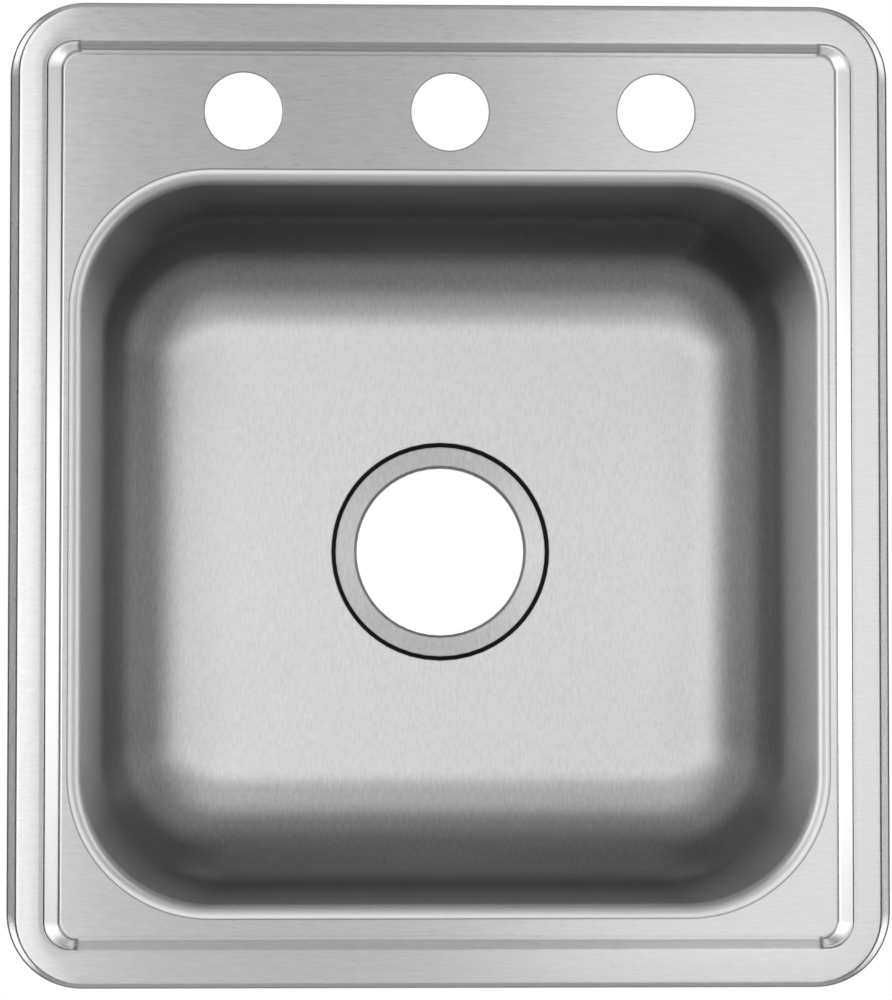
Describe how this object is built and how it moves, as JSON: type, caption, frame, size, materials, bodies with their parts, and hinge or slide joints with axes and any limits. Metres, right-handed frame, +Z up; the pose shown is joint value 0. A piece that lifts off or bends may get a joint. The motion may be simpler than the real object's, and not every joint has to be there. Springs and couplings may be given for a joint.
{
  "type": "drop-in kitchen sink",
  "caption": "Drop-in sink in brushed stainless sheet: one deep round-cornered bowl with a drain hole, a ledge with faucet holes, and hold-down clips in rails below.",
  "frame": {"origin": "centre of the rim, on the plane of the worktop that the rim rests on", "axes": "+Z up, +Y towards the faucet holes, +X to the right seen from the front"},
  "size_m": [0.4318, 0.4826, 0.1677],
  "materials": {
    "satin_steel": "satin",
    "rail_steel": "matt",
    "zinc": "satin",
    "sound_pad": "matt"
  },
  "bodies": {
    "sink": {"sink_shell": "satin_steel", "sound_pad_front": "sound_pad", "sound_pad_rear": "sound_pad", "rail_front": "rail_steel", "rail_rear": "rail_steel", "rail_left": "rail_steel", "rail_right": "rail_steel"},
    "nut_right_rear": {"channel_nut_right_rear": "zinc"},
    "washer_right_rear": {"clip_washer_right_rear": "zinc"},
    "screw_right_rear": {"clip_screw_right_rear": "zinc"},
    "claw_right_rear": {"clip_claw_right_rear": "zinc"},
    "nut_right_front": {"channel_nut_right_front": "zinc"},
    "washer_right_front": {"clip_washer_right_front": "zinc"},
    "screw_right_front": {"clip_screw_right_front": "zinc"},
    "claw_right_front": {"clip_claw_right_front": "zinc"},
    "nut_rear_left": {"channel_nut_rear_left": "zinc"},
    "washer_rear_left": {"clip_washer_rear_left": "zinc"},
    "screw_rear_left": {"clip_screw_rear_left": "zinc"},
    "claw_rear_left": {"clip_claw_rear_left": "zinc"},
    "nut_rear_right": {"channel_nut_rear_right": "zinc"},
    "washer_rear_right": {"clip_washer_rear_right": "zinc"},
    "screw_rear_right": {"clip_screw_rear_right": "zinc"},
    "claw_rear_right": {"clip_claw_rear_right": "zinc"},
    "nut_left_front": {"channel_nut_left_front": "zinc"},
    "washer_left_front": {"clip_washer_left_front": "zinc"},
    "screw_left_front": {"clip_screw_left_front": "zinc"},
    "claw_left_front": {"clip_claw_left_front": "zinc"},
    "nut_left_rear": {"channel_nut_left_rear": "zinc"},
    "washer_left_rear": {"clip_washer_left_rear": "zinc"},
    "screw_left_rear": {"clip_screw_left_rear": "zinc"},
    "claw_left_rear": {"clip_claw_left_rear": "zinc"},
    "nut_front_right": {"channel_nut_front_right": "zinc"},
    "washer_front_right": {"clip_washer_front_right": "zinc"},
    "screw_front_right": {"clip_screw_front_right": "zinc"},
    "claw_front_right": {"clip_claw_front_right": "zinc"},
    "nut_front_left": {"channel_nut_front_left": "zinc"},
    "washer_front_left": {"clip_washer_front_left": "zinc"},
    "screw_front_left": {"clip_screw_front_left": "zinc"},
    "claw_front_left": {"clip_claw_front_left": "zinc"}
  },
  "joints": [
    {"name": "slide_right_rear", "type": "slide", "parent": "sink", "child": "nut_right_rear", "axis": [0, 1, 0], "range_m": [-0.09, 0.07]},
    {"name": "lift_right_rear", "type": "slide", "parent": "nut_right_rear", "child": "washer_right_rear", "axis": [0, 0, 1], "range_m": [0, 0.0079]},
    {"name": "turn_right_rear", "type": "hinge", "parent": "washer_right_rear", "child": "screw_right_rear", "pos_m": [0.2018, 0.11, -0.0156], "axis": [0, 0, 1], "range_deg": [0, 2700]},
    {"name": "swivel_right_rear", "type": "hinge", "parent": "washer_right_rear", "child": "claw_right_rear", "pos_m": [0.2018, 0.11, -0.0156], "axis": [0, 0, 1], "range_deg": [-90, 90]},
    {"name": "slide_right_front", "type": "slide", "parent": "sink", "child": "nut_right_front", "axis": [0, 1, 0], "range_m": [-0.07, 0.09]},
    {"name": "lift_right_front", "type": "slide", "parent": "nut_right_front", "child": "washer_right_front", "axis": [0, 0, 1], "range_m": [0, 0.0079]},
    {"name": "turn_right_front", "type": "hinge", "parent": "washer_right_front", "child": "screw_right_front", "pos_m": [0.2018, -0.11, -0.0156], "axis": [0, 0, 1], "range_deg": [0, 2700]},
    {"name": "swivel_right_front", "type": "hinge", "parent": "washer_right_front", "child": "claw_right_front", "pos_m": [0.2018, -0.11, -0.0156], "axis": [0, 0, 1], "range_deg": [-90, 90]},
    {"name": "slide_rear_left", "type": "slide", "parent": "sink", "child": "nut_rear_left", "axis": [-1, 0, 0], "range_m": [-0.07, 0.065]},
    {"name": "lift_rear_left", "type": "slide", "parent": "nut_rear_left", "child": "washer_rear_left", "axis": [0, 0, 1], "range_m": [0, 0.0079]},
    {"name": "turn_rear_left", "type": "hinge", "parent": "washer_rear_left", "child": "screw_rear_left", "pos_m": [-0.09, 0.2272, -0.0156], "axis": [0, 0, 1], "range_deg": [0, 2700]},
    {"name": "swivel_rear_left", "type": "hinge", "parent": "washer_rear_left", "child": "claw_rear_left", "pos_m": [-0.09, 0.2272, -0.0156], "axis": [0, 0, 1], "range_deg": [-90, 90]},
    {"name": "slide_rear_right", "type": "slide", "parent": "sink", "child": "nut_rear_right", "axis": [-1, 0, 0], "range_m": [-0.065, 0.07]},
    {"name": "lift_rear_right", "type": "slide", "parent": "nut_rear_right", "child": "washer_rear_right", "axis": [0, 0, 1], "range_m": [0, 0.0079]},
    {"name": "turn_rear_right", "type": "hinge", "parent": "washer_rear_right", "child": "screw_rear_right", "pos_m": [0.09, 0.2272, -0.0156], "axis": [0, 0, 1], "range_deg": [0, 2700]},
    {"name": "swivel_rear_right", "type": "hinge", "parent": "washer_rear_right", "child": "claw_rear_right", "pos_m": [0.09, 0.2272, -0.0156], "axis": [0, 0, 1], "range_deg": [-90, 90]},
    {"name": "slide_left_front", "type": "slide", "parent": "sink", "child": "nut_left_front", "axis": [0, -1, 0], "range_m": [-0.09, 0.07]},
    {"name": "lift_left_front", "type": "slide", "parent": "nut_left_front", "child": "washer_left_front", "axis": [0, 0, 1], "range_m": [0, 0.0079]},
    {"name": "turn_left_front", "type": "hinge", "parent": "washer_left_front", "child": "screw_left_front", "pos_m": [-0.2018, -0.11, -0.0156], "axis": [0, 0, 1], "range_deg": [0, 2700]},
    {"name": "swivel_left_front", "type": "hinge", "parent": "washer_left_front", "child": "claw_left_front", "pos_m": [-0.2018, -0.11, -0.0156], "axis": [0, 0, 1], "range_deg": [-90, 90]},
    {"name": "slide_left_rear", "type": "slide", "parent": "sink", "child": "nut_left_rear", "axis": [0, -1, 0], "range_m": [-0.07, 0.09]},
    {"name": "lift_left_rear", "type": "slide", "parent": "nut_left_rear", "child": "washer_left_rear", "axis": [0, 0, 1], "range_m": [0, 0.0079]},
    {"name": "turn_left_rear", "type": "hinge", "parent": "washer_left_rear", "child": "screw_left_rear", "pos_m": [-0.2018, 0.11, -0.0156], "axis": [0, 0, 1], "range_deg": [0, 2700]},
    {"name": "swivel_left_rear", "type": "hinge", "parent": "washer_left_rear", "child": "claw_left_rear", "pos_m": [-0.2018, 0.11, -0.0156], "axis": [0, 0, 1], "range_deg": [-90, 90]},
    {"name": "slide_front_right", "type": "slide", "parent": "sink", "child": "nut_front_right", "axis": [1, 0, 0], "range_m": [-0.07, 0.065]},
    {"name": "lift_front_right", "type": "slide", "parent": "nut_front_right", "child": "washer_front_right", "axis": [0, 0, 1], "range_m": [0, 0.0079]},
    {"name": "turn_front_right", "type": "hinge", "parent": "washer_front_right", "child": "screw_front_right", "pos_m": [0.09, -0.2272, -0.0156], "axis": [0, 0, 1], "range_deg": [0, 2700]},
    {"name": "swivel_front_right", "type": "hinge", "parent": "washer_front_right", "child": "claw_front_right", "pos_m": [0.09, -0.2272, -0.0156], "axis": [0, 0, 1], "range_deg": [-90, 90]},
    {"name": "slide_front_left", "type": "slide", "parent": "sink", "child": "nut_front_left", "axis": [1, 0, 0], "range_m": [-0.065, 0.07]},
    {"name": "lift_front_left", "type": "slide", "parent": "nut_front_left", "child": "washer_front_left", "axis": [0, 0, 1], "range_m": [0, 0.0079]},
    {"name": "turn_front_left", "type": "hinge", "parent": "washer_front_left", "child": "screw_front_left", "pos_m": [-0.09, -0.2272, -0.0156], "axis": [0, 0, 1], "range_deg": [0, 2700]},
    {"name": "swivel_front_left", "type": "hinge", "parent": "washer_front_left", "child": "claw_front_left", "pos_m": [-0.09, -0.2272, -0.0156], "axis": [0, 0, 1], "range_deg": [-90, 90]}
  ],
  "couplings": [
    {"joint": "turn_right_rear", "follows": "lift_right_rear", "rad_per_m": 5936.9},
    {"joint": "turn_right_front", "follows": "lift_right_front", "rad_per_m": 5936.9},
    {"joint": "turn_rear_left", "follows": "lift_rear_left", "rad_per_m": 5936.9},
    {"joint": "turn_rear_right", "follows": "lift_rear_right", "rad_per_m": 5936.9},
    {"joint": "turn_left_front", "follows": "lift_left_front", "rad_per_m": 5936.9},
    {"joint": "turn_left_rear", "follows": "lift_left_rear", "rad_per_m": 5936.9},
    {"joint": "turn_front_right", "follows": "lift_front_right", "rad_per_m": 5936.9},
    {"joint": "turn_front_left", "follows": "lift_front_left", "rad_per_m": 5936.9}
  ]
}
